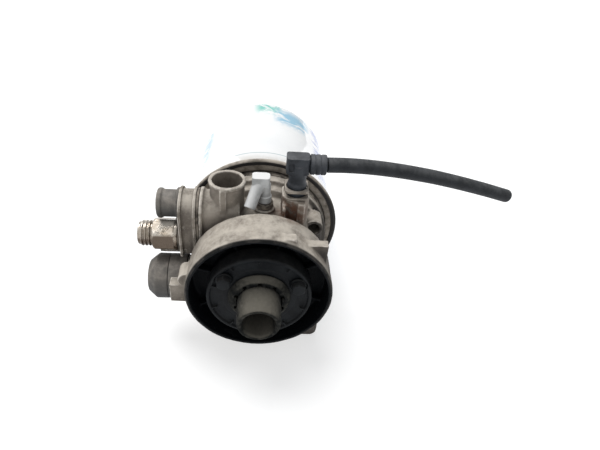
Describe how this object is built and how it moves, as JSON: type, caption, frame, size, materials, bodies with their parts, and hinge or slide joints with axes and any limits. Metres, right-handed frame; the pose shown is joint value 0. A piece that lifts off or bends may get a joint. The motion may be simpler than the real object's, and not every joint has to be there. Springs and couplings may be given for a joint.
{
  "type": "compressed air dryer",
  "caption": "Spin-on compressed-air dryer for a vehicle brake system: cast base with ports, governor, exhaust valve and hose, and a screw-on desiccant cartridge.",
  "frame": {"origin": "on the mounting face, under the axis of the dryer, midway along the mounting foot", "axes": "+Y along the axis of the dryer from the exhaust spigot to the dome of the cartridge, +X towards the hose, +Z away from the mounting face"},
  "size_m": [0.3276, 0.2745, 0.176],
  "materials": {
    "cast_aluminium": "weathered die-cast, dusty",
    "black_coat": "matt black, scuffed",
    "dusty_steel": "dusty, dull",
    "bright_steel": "bright",
    "brass": "machined",
    "nickel_brass": "nickel-plated, dusty",
    "rubber": "matt",
    "hose_rubber": "matt, dusty along the top",
    "zinc_plate": "zinc-plated",
    "dark_plastic": "moulded, dusty",
    "grey_plastic": "moulded",
    "can_paint": "gloss paint with faded blue decal patches",
    "tin_plate": "tin-plated",
    "desiccant": "porous beads",
    "fleece": "needled fleece"
  },
  "bodies": {
    "housing": {"base_casting": "cast_aluminium", "valve_block": "cast_aluminium", "governor_housing": "cast_aluminium", "end_cover": "black_coat", "cover_bolt_1": "black_coat", "cover_bolt_2": "black_coat", "cover_bolt_3": "black_coat", "exhaust_spigot": "dusty_steel", "spigot_lock_ring": "dusty_steel", "exhaust_valve_spring": "bright_steel", "check_valve_spring": "bright_steel", "heater_rod": "bright_steel", "governor_spring": "bright_steel", "exhaust_valve_seat": "brass", "check_valve_seat": "brass", "check_valve_guide": "brass", "heater_pin_1": "brass", "heater_pin_2": "brass", "outlet_fitting": "nickel_brass", "valve_block_gasket": "rubber", "outlet_fitting_seal": "rubber", "governor_diaphragm": "rubber", "breather_grommet": "rubber", "elbow_seal": "rubber", "valve_block_screw_1": "zinc_plate", "valve_block_screw_2": "zinc_plate", "valve_block_screw_3": "zinc_plate", "valve_block_screw_4": "zinc_plate", "governor_lock_nut": "zinc_plate", "elbow_clip": "zinc_plate", "threaded_hub": "zinc_plate", "heater_connector": "dark_plastic", "governor_cap": "dark_plastic"},
    "exhaust_valve": {"exhaust_piston": "bright_steel", "exhaust_piston_seal": "rubber", "exhaust_valve_seal": "rubber"},
    "check_valve": {"check_valve_disc": "brass"},
    "governor_slider": {"governor_piston": "brass"},
    "governor_plate": {"governor_spring_plate": "zinc_plate"},
    "governor_screw": {"governor_adjusting_screw": "zinc_plate"},
    "breather": {"breather_elbow": "grey_plastic"},
    "hose_swivel": {"hose_elbow": "dark_plastic", "hose_ferrule": "dark_plastic", "hose": "hose_rubber"},
    "gasket_carrier": {"cartridge_gasket": "rubber"},
    "cartridge": {"cartridge_can": "can_paint", "cartridge_plate": "zinc_plate", "cup_seal": "rubber", "desiccant_cup": "tin_plate", "lower_sieve": "tin_plate", "desiccant_bed": "desiccant", "upper_sieve": "tin_plate", "oil_fleece": "fleece", "cartridge_spring": "bright_steel"}
  },
  "joints": [
    {"name": "cartridge_lift", "type": "slide", "parent": "housing", "child": "gasket_carrier", "axis": [0, 1, 0], "range_m": [0, 0.01501]},
    {"name": "cartridge_unscrew", "type": "hinge", "parent": "gasket_carrier", "child": "cartridge", "pos_m": [0, 0.041, 0.075], "axis": [0, 1, 0], "range_deg": [0, 3600]},
    {"name": "exhaust_valve_slide", "type": "slide", "parent": "housing", "child": "exhaust_valve", "axis": [0, -1, 0], "range_m": [0, 0.003], "stiffness_N_per_m": 3000, "springref_m": -0.004, "deforming": ["exhaust_valve_spring"]},
    {"name": "check_valve_slide", "type": "slide", "parent": "housing", "child": "check_valve", "axis": [-1, 0, 0], "range_m": [0, 0.0035], "stiffness_N_per_m": 400, "springref_m": -0.003, "deforming": ["check_valve_spring"]},
    {"name": "governor_slide", "type": "slide", "parent": "housing", "child": "governor_slider", "axis": [1, 0, 0], "range_m": [0, 0.002], "stiffness_N_per_m": 6000, "springref_m": -0.003},
    {"name": "governor_preload", "type": "slide", "parent": "housing", "child": "governor_plate", "axis": [1, 0, 0], "range_m": [0, 0.002], "deforming": ["governor_spring"]},
    {"name": "governor_screw_turn", "type": "hinge", "parent": "governor_plate", "child": "governor_screw", "pos_m": [-0.087, -0.014, 0.058], "axis": [-1, 0, 0], "range_deg": [0, 720]},
    {"name": "breather_swivel", "type": "hinge", "parent": "housing", "child": "breather", "pos_m": [0.0015, -0.003, 0.133], "axis": [0, 0, 1], "range_deg": [-8, 60]},
    {"name": "hose_elbow_swivel", "type": "hinge", "parent": "housing", "child": "hose_swivel", "pos_m": [0.0265, -0.002, 0.14], "axis": [0, 0, 1], "range_deg": [-75, 50]}
  ],
  "couplings": [
    {"joint": "cartridge_lift", "follows": "cartridge_unscrew", "m_per_rad": 0.00023873},
    {"joint": "governor_screw_turn", "follows": "governor_preload", "rad_per_m": 6283}
  ]
}
